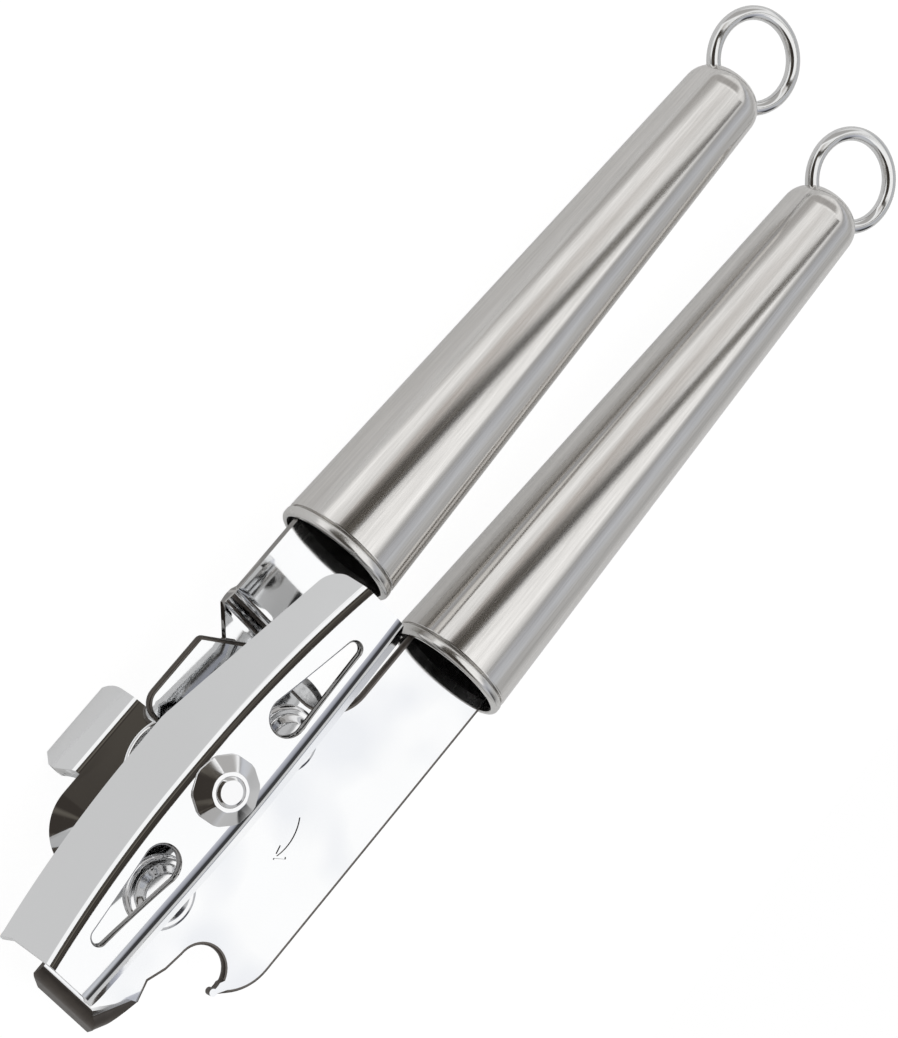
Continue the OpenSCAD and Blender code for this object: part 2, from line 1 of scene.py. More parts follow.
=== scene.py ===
import math
import bmesh
import bpy
from mathutils import Matrix, Vector
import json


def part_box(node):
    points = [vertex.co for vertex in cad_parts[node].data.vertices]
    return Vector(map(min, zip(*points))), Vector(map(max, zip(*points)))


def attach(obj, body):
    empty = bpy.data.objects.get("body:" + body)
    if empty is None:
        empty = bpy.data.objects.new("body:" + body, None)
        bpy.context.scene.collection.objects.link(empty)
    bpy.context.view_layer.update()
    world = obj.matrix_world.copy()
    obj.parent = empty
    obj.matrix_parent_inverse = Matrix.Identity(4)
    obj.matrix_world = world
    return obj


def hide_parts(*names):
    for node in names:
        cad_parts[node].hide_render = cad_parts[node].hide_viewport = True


# A manual can opener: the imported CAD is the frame, and each of its nodes is
# replaced by a finished piece on the same body. Lengths in millimetres here.
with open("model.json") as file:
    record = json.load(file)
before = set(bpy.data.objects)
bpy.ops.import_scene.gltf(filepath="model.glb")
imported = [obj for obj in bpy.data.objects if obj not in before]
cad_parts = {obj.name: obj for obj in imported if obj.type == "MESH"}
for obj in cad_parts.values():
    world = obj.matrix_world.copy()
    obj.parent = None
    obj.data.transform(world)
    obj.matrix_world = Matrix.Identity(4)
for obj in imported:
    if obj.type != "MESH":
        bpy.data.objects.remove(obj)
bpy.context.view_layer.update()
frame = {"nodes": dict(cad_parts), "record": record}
MM = 0.001
scene = bpy.context.scene

# ---------- places, all from the frame ----------
shaft_low, shaft_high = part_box("drive_shaft")
plate_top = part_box("lower_plate")[1].z
ORIGIN = Vector(((shaft_low.x + shaft_high.x) / 2, (shaft_low.y + shaft_high.y) / 2, plate_top)) / MM
body_of = {n: b for b, names in frame["record"]["behaviour"]["bodies"].items() for n in names}
slot_of = {row["node"]: row["material_slot"] for row in frame["record"]["subparts"]}


def limits(node):
    """The low and high corners of a CAD node's box, in mm."""
    low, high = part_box(node)
    return low / MM, high / MM


def middle(node):
    low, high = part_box(node)
    return (low + high) / 2 / MM


# ---------- small node helpers ----------
def new_material(name):
    mat = bpy.data.materials.new(name)
    mat.use_nodes = True
    tree = mat.node_tree
    return mat, tree, tree.nodes["Principled BSDF"]


def add(tree, kind, **values):
    node = tree.nodes.new(kind)
    for key, value in values.items():
        setattr(node, key, value)
    return node


def feed(tree, socket, value):
    """Gives an input what another node puts out, or a plain number or colour."""
    if isinstance(value, bpy.types.NodeSocket):
        tree.links.new(value, socket)
    else:
        socket.default_value = (*value, 1) if isinstance(value, tuple) else value


def maths(tree, operation, *values):
    node = add(tree, "ShaderNodeMath", operation=operation)
    for socket, value in zip(node.inputs, values):
        feed(tree, socket, value)
    return node.outputs[0]


def mix(tree, factor, a, b, kind="RGBA", blend="MIX"):
    """From a to b as factor goes from 0 to 1, each a socket or a plain value."""
    node = add(tree, "ShaderNodeMix", data_type=kind, blend_type=blend)
    for key, value in (("Factor", factor), ("A", a), ("B", b)):
        feed(tree, node.inputs[key], value)
    return node.outputs["Result"]


def split(tree, vector):
    """The X, Y and Z of a vector."""
    node = add(tree, "ShaderNodeSeparateXYZ")
    tree.links.new(vector, node.inputs[0])
    return tuple(node.outputs)


def noise(tree, vector, scale, detail=3.0, rough=0.5):
    node = add(tree, "ShaderNodeTexNoise")
    node.inputs["Scale"].default_value = scale
    node.inputs["Detail"].default_value = detail
    node.inputs["Roughness"].default_value = rough
    tree.links.new(vector, node.inputs["Vector"])
    return node.outputs["Fac"]


def stretched(tree, scale, turn=0):
    """Object coordinates in metres, scaled per axis for streaks along one axis, and turned about Z."""
    coord = add(tree, "ShaderNodeTexCoord")
    mapping = add(tree, "ShaderNodeMapping")
    mapping.inputs["Rotation"].default_value = (0, 0, math.radians(turn))
    mapping.inputs["Scale"].default_value = scale
    tree.links.new(coord.outputs["Object"], mapping.inputs["Vector"])
    return mapping.outputs["Vector"]


def remap(tree, value, low, high, to_low, to_high):
    node = add(tree, "ShaderNodeMapRange", clamp=True)
    for key, number in (("From Min", low), ("From Max", high), ("To Min", to_low), ("To Max", to_high)):
        node.inputs[key].default_value = number
    tree.links.new(value, node.inputs["Value"])
    return node.outputs["Result"]


def bump(tree, height, distance, strength=1.0):
    node = add(tree, "ShaderNodeBump")
    node.inputs["Distance"].default_value = distance
    node.inputs["Strength"].default_value = strength
    tree.links.new(height, node.inputs["Height"])
    return node.outputs["Normal"]


def scratches(tree, scale, turn, thin):
    """Fine hairline scratches: stretched noise, kept only where it peaks."""
    return remap(tree, noise(tree, stretched(tree, scale, turn), 1.0, 2.0), thin, thin + 0.06, 0.0, 1.0)


# ---------- materials ----------
def polished(name, base, rough, wave, scratch=0.05):
    """Polished stainless sheet: a mirror with faint waviness, hairlines and patchy haze."""
    mat, tree, bsdf = new_material(name)
    bsdf.inputs["Metallic"].default_value = 1.0
    even = stretched(tree, (1, 1, 1))
    tone = noise(tree, even, 90.0, 4.0)
    lo = tuple(c * 0.97 for c in base)
    tree.links.new(mix(tree, tone, lo, base), bsdf.inputs["Base Color"])
    haze = remap(tree, noise(tree, even, 160.0, 5.0, 0.6), 0.35, 0.75, rough, rough * 2.2)
    lines = scratches(tree, (2600, 60, 60), 28, 0.66)
    tree.links.new(maths(tree, "MULTIPLY_ADD", lines, scratch, haze), bsdf.inputs["Roughness"])
    tree.links.new(bump(tree, noise(tree, even, 55.0, 2.0), wave, 1.0), bsdf.inputs["Normal"])
    return mat


def sheet(name, base, edge, rough):
    """Polished sheet whose steep faces, the sheared edges and the rolled lip, are dull and painted dark as
    a reflection of the shaded floor below, told by how far they lean.
    """
    mat = polished(name, base, rough, 0.00004)
    tree = mat.node_tree
    bsdf = tree.nodes["Principled BSDF"]
    face = bsdf.inputs["Base Color"].links[0].from_socket
    shine = bsdf.inputs["Roughness"].links[0].from_socket
    even = stretched(tree, (1, 1, 1))
    patches = remap(tree, noise(tree, even, 75.0, 1.5), 0.5, 0.72, 0, 1)
    tint = mix(tree, 1.0, face, mix(tree, patches, (1, 1, 1), (0.89, 0.90, 0.925)), blend="MULTIPLY")
    # Painted reflection: faces that lean steeply are coloured dark brown-black, standing in for the shaded
    # floor they mirror.
    geometry = add(tree, "ShaderNodeNewGeometry")
    upright = split(tree, geometry.outputs["True Normal"])[2]
    side = remap(tree, maths(tree, "ABSOLUTE", upright), 0.985, 0.965, 0, 1)
    painted_dark_reflection = mix(tree, noise(tree, even, 500.0, 3.0), edge, tuple(c * 1.7 for c in edge))
    tree.links.new(mix(tree, side, tint, painted_dark_reflection), bsdf.inputs["Base Color"])
    tree.links.new(mix(tree, side, shine, 0.34, "FLOAT"), bsdf.inputs["Roughness"])
    return mat


def rimmed(name, base, edge, rough):
    """Polished sheet with greyer rims, where the mesh's own "rim" attribute is 1; the grey is a painted
    darker reflection on those cut walls.
    """
    mat = polished(name, base, rough, 0.00004, 0.02)
    tree = mat.node_tree
    bsdf = tree.nodes["Principled BSDF"]
    face = bsdf.inputs["Base Color"].links[0].from_socket
    mark = add(tree, "ShaderNodeAttribute", attribute_name="rim")
    # Painted reflection: rim faces are coloured grey, standing in for the darker reflection that the cut
    # walls show.
    tree.links.new(mix(tree, mark.outputs["Fac"], face, edge), bsdf.inputs["Base Color"])
    return mat


def brushed(name, dark, light, rough):
    """Satin stainless tube, brushed along its length."""
    mat, tree, bsdf = new_material(name)
    bsdf.inputs["Metallic"].default_value = 1.0
    along = stretched(tree, (2200, 26, 2200))
    fine = noise(tree, along, 1.0, 4.0, 0.65)
    broad = noise(tree, stretched(tree, (500, 5, 500)), 1.0, 2.0)
    streak = mix(tree, 0.35, fine, broad, "FLOAT")
    tree.links.new(mix(tree, remap(tree, streak, 0.3, 0.7, 0, 1), dark, light), bsdf.inputs["Base Color"])
    tree.links.new(remap(tree, streak, 0.3, 0.7, rough * 1.15, rough * 0.85), bsdf.inputs["Roughness"])
    tree.links.new(bump(tree, fine, 0.00001, 0.3), bsdf.inputs["Normal"])
    return mat


def turned(name, base, rough):
    """Machined or ground steel: fine rings and small pits."""
    mat, tree, bsdf = new_material(name)
    bsdf.inputs["Metallic"].default_value = 1.0
    even = stretched(tree, (1, 1, 1))
    tree.links.new(mix(tree, noise(tree, even, 700.0, 5.0), tuple(c * 0.85 for c in base), base),
                   bsdf.inputs["Base Color"])
    tree.links.new(remap(tree, noise(tree, even, 1500.0, 3.0), 0.3, 0.7, rough * 0.7, rough * 1.3),
                   bsdf.inputs["Roughness"])
    tree.links.new(bump(tree, noise(tree, even, 900.0, 4.0), 0.00003, 0.4), bsdf.inputs["Normal"])
    return mat


def moulded(name, base):
    """Moulded insert inside a handle."""
    mat, tree, bsdf = new_material(name)
    even = stretched(tree, (1, 1, 1))
    tree.links.new(mix(tree, noise(tree, even, 600.0), tuple(c * 0.7 for c in base), base),
                   bsdf.inputs["Base Color"])
    tree.links.new(remap(tree, noise(tree, even, 1200.0), 0.3, 0.7, 0.45, 0.7), bsdf.inputs["Roughness"])
    tree.links.new(bump(tree, noise(tree, even, 2500.0, 4.0), 0.00004, 0.4), bsdf.inputs["Normal"])
    return mat


chrome = polished("polished_sheet", (0.88, 0.885, 0.89), 0.04, 0.00005, 0.02)
# The key: its grey is a painted darker reflection on the walls of its slots and hole.
key_steel = rimmed("polished_key", (0.88, 0.885, 0.89), (0.36, 0.355, 0.35), 0.04)
# The lower plate: its third colour is the painted dark reflection on its steep edges and rolled lip.
plate_steel = sheet("polished_plate", (0.88, 0.885, 0.89), (0.085, 0.075, 0.067), 0.04)
# The upper plate: its grey is a painted darker reflection on its edges between the rim tab and the tube.
edged_steel = rimmed("edged_plate", (0.88, 0.885, 0.89), (0.34, 0.33, 0.32), 0.04)
wire = polished("polished_wire", (0.76, 0.76, 0.755), 0.07, 0.00002)
tube_steel = brushed("brushed_tube", (0.62, 0.605, 0.585), (0.80, 0.785, 0.765), 0.13)
bright_steel = polished("bright_steel", (0.86, 0.86, 0.865), 0.07, 0.00004)
ground = turned("ground_steel", (0.62, 0.625, 0.63), 0.3)
insert = moulded("insert", (0.13, 0.122, 0.115))
satin_ring = polished("satin_ring", (0.74, 0.73, 0.71), 0.15, 0.00002)
FINISH = {"polished_steel": chrome, "brushed_tube": tube_steel, "steel_parts": bright_steel,
          "hard_steel": ground, "insert": insert}


# ---------- piece helpers ----------
def finish_piece(obj, node, mat=None):
    """Gives a piece its material, by its CAD node's material slot unless one is given, and its body, and
    hides the CAD node it stands in for.
    """
    obj.data.materials.clear()
    obj.data.materials.append(mat or FINISH[slot_of[node]])
    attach(obj, body_of[node])
    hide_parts(node)
    return obj


def link(name, mesh):
    obj = bpy.data.objects.new(name, mesh)
    scene.collection.objects.link(obj)
    return obj


def baked(obj):
    """Applies the modifiers of obj to its mesh."""
    graph = bpy.context.evaluated_depsgraph_get()
    mesh = bpy.data.meshes.new_from_object(obj.evaluated_get(graph), preserve_all_data_layers=True,
                                           depsgraph=graph)
    obj.modifiers.clear()
    obj.data = mesh
    return obj


def rounded_edges(obj, pick, width, segments=3):
    """Rounds only the sharp edges whose ends (mm from ORIGIN) all pass pick."""
    obj.data.attributes.new("bevel_weight_edge", "FLOAT", "EDGE")
    bm = bmesh.new()
    bm.from_mesh(obj.data)
    weight = bm.edges.layers.float.get("bevel_weight_edge")
    for edge in bm.edges:
        if len(edge.link_faces) == 2 and edge.calc_face_angle(0) > math.radians(50):
            edge[weight] = 1.0 if all(pick(v.co / MM - ORIGIN) for v in edge.verts) else 0.0
    bm.to_mesh(obj.data)
    bm.free()
    mod = obj.modifiers.new("rim", "BEVEL")
    mod.limit_method = "WEIGHT"
    mod.width = width * MM
    mod.segments = segments
    mod.use_clamp_overlap = False
    return baked(obj)


def bevelled(obj, width, angle=34, segments=2, smooth=30):
    """Rounds the sharp edges by width and keeps flat faces flat in the shading."""
    obj.data.shade_smooth()
    obj.data.set_sharp_from_angle(angle=math.radians(smooth))
    if width:
        mod = obj.modifiers.new("edge", "BEVEL")
        mod.limit_method = "ANGLE"
        mod.angle_limit = math.radians(angle)
        mod.width = width * MM
        mod.segments = segments
        mod.miter_outer = "MITER_ARC"
        baked(obj)
        obj.data.shade_smooth()
        obj.data.set_sharp_from_angle(angle=math.radians(50))
    mod = obj.modifiers.new("flat", "WEIGHTED_NORMAL")
    mod.keep_sharp = True
    mod.weight = 80
    return baked(obj)


def dress(node, width=0.12, angle=34, mat=None, smooth=30, rims=None):
    """A copy of a CAD node with joined vertices, clean faces and rounded edges."""
    bm = bmesh.new()
    bm.from_mesh(frame["nodes"][node].data)
    bmesh.ops.remove_doubles(bm, verts=bm.verts, dist=2e-6)
    bmesh.ops.dissolve_limit(bm, angle_limit=math.radians(0.4), verts=bm.verts, edges=bm.edges)
    clean = bpy.data.meshes.new(node + "_piece")
    bm.to_mesh(clean)
    bm.free()
    obj = link(node + "_piece", clean)
    if rims:
        rounded_edges(obj, *rims)
    bevelled(obj, width, angle, smooth=smooth)
    return finish_piece(obj, node, mat)


def new_object(name, bm):
    """An object from a bmesh, its faces all turned outwards."""
    bmesh.ops.recalc_face_normals(bm, faces=bm.faces)
    mesh = bpy.data.meshes.new(name)
    bm.to_mesh(mesh)
    bm.free()
    return link(name, mesh)


def join_rows(bm, rows):
    """Faces between each row of vertices and the next, each row closed on itself."""
    n = len(rows[0])
    for a, b in zip(rows, rows[1:]):
        for i in range(n):
            k = (i + 1) % n
            bm.faces.new((a[i], a[k], b[k], b[i]))


def ring_mesh(name, rings):
    """A closed skin through rings of points; the last ring lies on the first, and is joined to it."""
    bm = bmesh.new()
    join_rows(bm, [[bm.verts.new(Vector(p) * MM) for p in ring] for ring in rings])
    obj = new_object(name, bm)
    bm = bmesh.new()
    bm.from_mesh(obj.data)
    bmesh.ops.remove_doubles(bm, verts=bm.verts, dist=1e-7)
    bmesh.ops.recalc_face_normals(bm, faces=bm.faces)
    bm.to_mesh(obj.data)
    bm.free()
    return obj


def arc_points(cx, cy, r, a0, a1, n):
    """n steps of an arc of radius r about (cx, cy), from a0 to a1 degrees."""
    return [(cx + r * math.cos(math.radians(a0 + (a1 - a0) * i / n)),
             cy + r * math.sin(math.radians(a0 + (a1 - a0) * i / n))) for i in range(n + 1)]


def lathe(name, profile, axis, segments=160):
    """Turns a profile of (radius, distance along +Y) about an axis through the point axis."""
    rings = []
    for k in range(segments):
        a = 2 * math.pi * k / segments
        rings.append([(axis.x + r * math.sin(a), y, axis.z + r * math.cos(a)) for r, y in profile])
    rings.append(rings[0])
    return ring_mesh(name, rings)


# ---------- handles ----------
# The tube and its rounded end, then the collar's bead with the seam behind it, then the wire loop
TUBE_R, TUBE_END_R, TUBE_WALL, END_ROUND, TUBE_STEPS, NEAR_AXIS = 9.9, 6.5, 0.9, 4.5, 24, 0.001
MOUTH_ROUND, BEAD_LIP, BEAD_BACK, BEAD_SEAM, BEAD_INNER = 0.28, 0.7, 0.35, 0.25, 0.15
SEAM_IN, SEAM_DEEP = 0.62, 0.72
WIRE_R, LOOP_STEPS, WIRE_STEPS = 1.15, 120, 28
BORE_R = TUBE_R - TUBE_WALL


def tube_skin(side):
    """The tapered tube with its wall, from its open mouth to its round closed end."""
    low, high = limits(side + "_handle_tube")
    y0, y1 = low.y, high.y
    dome = y1 - END_ROUND
    slope = (TUBE_R - TUBE_END_R) / (dome - y0)
    steps = [i / TUBE_STEPS for i in range(1, TUBE_STEPS)]
    outer = [(TUBE_R - slope * (dome - y0) * t, y0 + (dome - y0) * t) for t in steps]
    dome_out = arc_points(TUBE_END_R - END_ROUND, dome, END_ROUND, 0, 90, 16)
    dome_in = arc_points(TUBE_END_R - END_ROUND, dome, END_ROUND - TUBE_WALL, 90, 0, 12)
    profile = ([(BORE_R, y0), (TUBE_R - MOUTH_ROUND, y0)]
               + arc_points(TUBE_R - MOUTH_ROUND, y0 + MOUTH_ROUND, MOUTH_ROUND, -90, 0, 5)[1:]
               + outer + dome_out + [(NEAR_AXIS, y1), (NEAR_AXIS, y1 - TUBE_WALL)] + dome_in)
    tube = lathe(side + "_tube_skin", profile, (low + high) / 2)
    bevelled(tube, 0)
    finish_piece(tube, side + "_handle_tube")


def collar_bead(side):
    """The collar around the mouth: a round bead, and a seam where it meets the tube."""
    low, high = limits(side + "_handle_collar")
    tube_low, tube_high = limits(side + "_handle_tube")
    bead_r = (high.z - low.z) / 2
    back = high.y - BEAD_SEAM
    ring = ([(BORE_R, low.y + BEAD_INNER), (BORE_R + BEAD_INNER, low.y)]
            + arc_points(bead_r - BEAD_LIP, low.y + BEAD_LIP, BEAD_LIP, -90, 0, 10)
            + arc_points(bead_r - BEAD_BACK, back - BEAD_BACK, BEAD_BACK, 0, 90, 6)
            + [(bead_r - SEAM_IN, back), (bead_r - SEAM_DEEP, high.y), (BORE_R, high.y)])
    collar = lathe(side + "_collar_bead", ring, (tube_low + tube_high) / 2)
    bevelled(collar, 0)
    finish_piece(collar, side + "_handle_collar", satin_ring)


def loop_wire(side):
    """The round wire loop at the handle's end."""
    eye = middle(side + "_hang_loop")
    low, high = limits(side + "_hang_loop")
    loop_r = (high.x - low.x) / 2 - WIRE_R
    rings = []
    for k in range(LOOP_STEPS):
        a = 2 * math.pi * k / LOOP_STEPS
        c = Vector((eye.x + loop_r * math.sin(a), eye.y + loop_r * math.cos(a), eye.z))
        out = Vector((math.sin(a), math.cos(a), 0))
        rings.append([c + WIRE_R * (out * math.cos(b) + Vector((0, 0, 1)) * math.sin(b))
                      for b in [2 * math.pi * i / WIRE_STEPS for i in range(WIRE_STEPS)]])
    loop = ring_mesh(side + "_loop_wire", rings + [rings[0]])
    loop.data.shade_smooth()
    finish_piece(loop, side + "_hang_loop", wire)


for side in ("lower", "upper"):
    tube_skin(side)
    collar_bead(side)
    loop_wire(side)
    dress(side + "_handle_plug", 0.2)
    dress(side + "_tang_pin", 0.2)

# ---------- turn key ----------
# A bowed web of sheet KEY_T thick with a flange bent down on each side, tapered to one end.
# Its y runs along the key and 0 is at the shaft; KEY_Z is its height over the lower plate.
KEY_HALF, KEY_MID, KEY_END, KEY_T, KEY_Z, KEY_BOW = 35.3, 4.7, 2.8, 1.2, 15.0, 2.0
DEPTH, LEAN, TAPER, TAPER_FROM, KEY_ROUND, KEY_SQUARE = 8.8, 32.0, 3.0, 3.0, 3.0, 0.8
BEND_R, FLAT = 2.2, 6.2
SLOT_IN, SLOT_OUT, SLOT_WIDE, SLOT_NARROW = Vector((0.2, 14)), Vector((0.85, 27.6)), 2.8, 1.1
HOLE_R, SLOT_RIM, BEND_EARLY, KEY_EDGE, CUT_LOW, CUT_HIGH = 2.3, 0.36, 0.8, 0.16, 4, 8
CORNER_STEP, CORNER_STEPS, LONG_STEPS = 7.5, 12, 72


def web_half(y):
    """Half the width of the key's flat web at y along it."""
    return KEY_END + (KEY_MID - KEY_END) * (1 - (y / KEY_HALF) ** 2)


def web_z(y):
    """The height of the bowed web at y."""
    return KEY_Z + KEY_BOW * (max(0, abs(y) - FLAT) / (KEY_HALF - FLAT)) ** 2


def flange_at(y):
    """How far a flange reaches past its bend at y: tapered, with a round far corner."""
    s = max(0, y - (KEY_HALF - KEY_ROUND))
    t = max(0, (y - TAPER_FROM) / (KEY_HALF - TAPER_FROM))
    return DEPTH - TAPER * (1 - (1 - t) ** 2) - KEY_ROUND + math.sqrt(max(0, KEY_ROUND ** 2 - s * s))


def key_half_ring(y, depth, t, bend_n=14, depth_n=5):
    """From the web's side over the bend to the flange's edge."""
    turn = math.radians(90 - LEAN)
    out = [(web_half(y) * k / 4, -t) for k in (1, 2, 3)]
    for i in range(bend_n + 1):
        a = turn * i / bend_n
        out.append((web_half(y) + (BEND_R - t) * math.sin(a), -BEND_R + (BEND_R - t) * math.cos(a)))
    end = out[-1]
    for i in range(1, depth_n + 1):
        d = depth * i / depth_n
        out.append((end[0] + d * math.cos(turn), end[1] - d * math.sin(turn)))
    return out


def key_ring(y, square_low, square_high):
    """The key's whole section at y; its flange corners may be squared off."""
    right0, left0 = key_half_ring(y, flange_at(-y), 0), key_half_ring(y, flange_at(y), 0)
    right1, left1 = key_half_ring(y, flange_at(-y), KEY_T), key_half_ring(y, flange_at(y), KEY_T)
    top = list(reversed(right0)) + [(0, 0)] + [(-x, z) for x, z in left0]
    low = [(-x, z) for x, z in reversed(left1)] + [(0, -KEY_T)] + right1
    n = len(top)
    pts = []
    for i, (x, z) in enumerate(top + low):
        shift = square_high if i in (0, 2 * n - 1) else square_low if i in (n - 1, n) else 0
        pts.append(Vector((x, y + shift, z + web_z(y))) + ORIGIN)
    return pts


corner_ys = [KEY_HALF - KEY_ROUND + KEY_ROUND * math.sin(math.radians(CORNER_STEP * i))
             for i in range(1, CORNER_STEPS + 1)]
ys = [-y for y in reversed(corner_ys)]
ys += [-KEY_HALF + KEY_ROUND + (2 * (KEY_HALF - KEY_ROUND)) * i / LONG_STEPS for i in range(LONG_STEPS + 1)]
ys += corner_ys
rings = [key_ring(y, 0, 0) for y in ys]
rings[0] = key_ring(ys[0], -KEY_SQUARE, 0)
rings[-1] = key_ring(ys[-1], 0, KEY_SQUARE)


def strip_caps(ring, bm, flip):
    """Closes an end section with a strip of faces across the sheet."""
    n = len(ring)
    for i in range(n // 2 - 1):
        face = (ring[i], ring[i + 1], ring[n - 2 - i], ring[n - 1 - i])
        bm.faces.new(face if flip else tuple(reversed(face)))


def key_blank(name, sections):
    """The bent sheet of the key before its slots and hole are cut."""
    bm = bmesh.new()
    rows = [[bm.verts.new(p * MM) for p in ring] for ring in sections]
    join_rows(bm, rows)
    strip_caps(rows[0], bm, False)
    strip_caps(rows[-1], bm, True)
    return new_object(name, bm)


def prism(name, outline, z0, z1):
    """An upright solid from z0 to z1 over an outline of (x, y) points."""
    bm = bmesh.new()
    rows = [[bm.verts.new(Vector((x, y, z)) * MM) for x, y in outline] for z in (z0, z1)]
    join_rows(bm, rows)
    bm.faces.new(list(reversed(rows[0])))
    bm.faces.new(rows[-1])
    return new_object(name, bm)


def teardrop(sign, grow=0.0):
    """The outline of a slot, wider by grow; sign -1 is the one at the other end."""
    d = SLOT_OUT - SLOT_IN
    lead = math.degrees(math.atan2(d.y, d.x))
    a = math.degrees(math.acos((SLOT_WIDE - SLOT_NARROW) / d.length))
    pts = arc_points(SLOT_IN.x, SLOT_IN.y, SLOT_WIDE + grow, lead + a, lead + 360 - a, 40)
    pts += arc_points(SLOT_OUT.x, SLOT_OUT.y, SLOT_NARROW + grow, lead - a, lead + a, 16)
    return [(sign * x + ORIGIN.x, sign * y + ORIGIN.y) for x, y in pts]


def funnel(sign):
    """A slot's cutter that flares out at the web's bowed face."""
    bm = bmesh.new()
    rows = []
    for grow, rise in ((0, -CUT_LOW), (0, -SLOT_RIM), (SLOT_RIM, 0), (SLOT_RIM * 2, SLOT_RIM)):
        rows.append([bm.verts.new(Vector((x, y, ORIGIN.z + web_z(y - ORIGIN.y) + rise)) * MM)
                     for x, y in teardrop(sign, grow)])
    join_rows(bm, rows)
    bm.faces.new(list(reversed(rows[0])))
    bm.faces.new(rows[-1])
    bmesh.ops.triangulate(bm, faces=[f for f in bm.faces if len(f.verts) > 4])
    return new_object("slot_cut", bm)


def cut(obj, cutters):
    """Takes the cutters out of obj and removes them."""
    for cutter in cutters:
        mod = obj.modifiers.new("cut", "BOOLEAN")
        mod.operation = "DIFFERENCE"
        mod.solver = "EXACT"
        mod.object = cutter
    baked(obj)
    for cutter in cutters:
        bpy.data.objects.remove(cutter)


key = key_blank("key_skin", rings)
hole = [(ORIGIN.x + x, ORIGIN.y + y) for x, y in arc_points(0, 0, HOLE_R, 0, 356, 63)]
hole_cut = (hole, ORIGIN.z + KEY_Z - CUT_LOW, ORIGIN.z + KEY_Z + CUT_HIGH)
cut(key, [funnel(1), funnel(-1), prism("hole_cut", *hole_cut)])
key.data.shade_smooth()
key.data.set_sharp_from_angle(angle=math.radians(40))
mod = key.modifiers.new("edge", "BEVEL")
mod.limit_method = "ANGLE"
mod.angle_limit = math.radians(50)
mod.width = KEY_EDGE * MM
mod.segments = 2
baked(key)
key.data.shade_smooth()


def swap_normals(obj, true_normal, sheet_t, limit=16, rim=None):
    """Exact normals on the faces of bent sheet: true_normal(point) is the front's, in mm from ORIGIN.

    Only faces within limit degrees of it take it. Faces left over that pass rim get 1 in the
    attribute "rim".
    """
    mesh = obj.data
    marks = [0.0] * len(mesh.polygons)
    base = [c.vector.copy() for c in mesh.corner_normals]
    near = math.cos(math.radians(limit))
    for poly in mesh.polygons:
        middle_point = poly.center / MM - ORIGIN
        for sign in (1, -1):
            lift = Vector() if sign > 0 else poly.normal * -sheet_t
            want = true_normal(middle_point + lift)
            if poly.normal.dot(want * sign) < near:
                continue
            for li in poly.loop_indices:
                co = mesh.vertices[mesh.loops[li].vertex_index].co / MM - ORIGIN
                exact = true_normal(co + lift)
                if exact.dot(want) > 0.9:
                    base[li] = exact * sign
            break
        else:
            marks[poly.index] = 1.0 if rim and rim(middle_point) else 0.0
    if rim:
        mesh.attributes.new("rim", "FLOAT", "FACE").data.foreach_set("value", marks)
    mesh.normals_split_custom_set(base)
    return obj


def key_normal(p):
    """The key's front normal; its bend is shaded a little wider than it is."""
    w_slope = -2 * (KEY_MID - KEY_END) * p.y / KEY_HALF ** 2
    z_slope = 2 * KEY_BOW * max(0, abs(p.y) - FLAT) / (KEY_HALF - FLAT) ** 2 * (1 if p.y > 0 else -1)
    steep = math.sin(math.radians(90 - LEAN))
    out = abs(p.x) - web_half(p.y) + BEND_EARLY
    a = math.asin(max(0, min(steep, out * steep / (BEND_R * steep + BEND_EARLY))))
    side = 1 if p.x > 0 else -1
    along_y = -(w_slope * math.sin(a) + z_slope * math.cos(a))
    return Vector((side * math.sin(a), along_y, math.cos(a))).normalized()


def on_web(p):
    """Inside the web's outline: faces left over here are the slots' and the hole's rims, painted greyer as
    a darker reflection.
    """
    return abs(p.x) < web_half(p.y) and abs(p.y) < KEY_HALF - 2


mod = key.modifiers.new("flat", "WEIGHTED_NORMAL")
mod.weight = 80
baked(key)
swap_normals(key, key_normal, KEY_T, 24, rim=on_web)
finish_piece(key, "turn_key", key_steel)

# ---------- plates ----------
# Where the bent sheet of the CAD nodes turns, so that its shading is smooth (mm from ORIGIN)
PLATE_T = 1.5
NOSE_Y, NOSE_CORNER, NOSE_SIDE = 33.5, Vector((12.5, -33.5)), Vector((14.3, -30.4))
LIP_R, LIP_ROLL, MITRE, LIP_TO = 2.6, 80.0, -31.0, 18
LOBE_FALL, LOBE_X, LOBE_TOP, LOBE_FOOT = 14.0, (-4, 2.5), (23, 1.5), (1, 2)
DISH_AT, DISH_IN, WING_OUT = Vector((-2.2, -13.3)), 3.3, 8.8
DISH_SLOPE, TAB_SLOPE = 28.0, 58.0
TAB_TOP, TAB_END = 4.2, 4.2 - 13.9
JOGGLE_Y, JOGGLE_RUN, JOGGLE_FALL = 25.2, 2.1, 2.7


def eased_angle(x, stops):
    """The slope at x, in degrees, from (place, slope) stops with straight runs between."""
    if x <= stops[0][0]:
        return stops[0][1]
    for (x0, a0), (x1, a1) in zip(stops, stops[1:]):
        if x <= x1:
            return a0 + (a1 - a0) * (x - x0) / (x1 - x0)
    return stops[-1][1]


def share(distance, run):
    """How far distance goes into run, from 0 to 1."""
    return max(0, min(1, distance / run))


def leaning(x, y, a):
    """The upright normal leant by a radians towards the direction (x, y)."""
    return Vector((x * math.sin(a), y * math.sin(a), math.cos(a)))


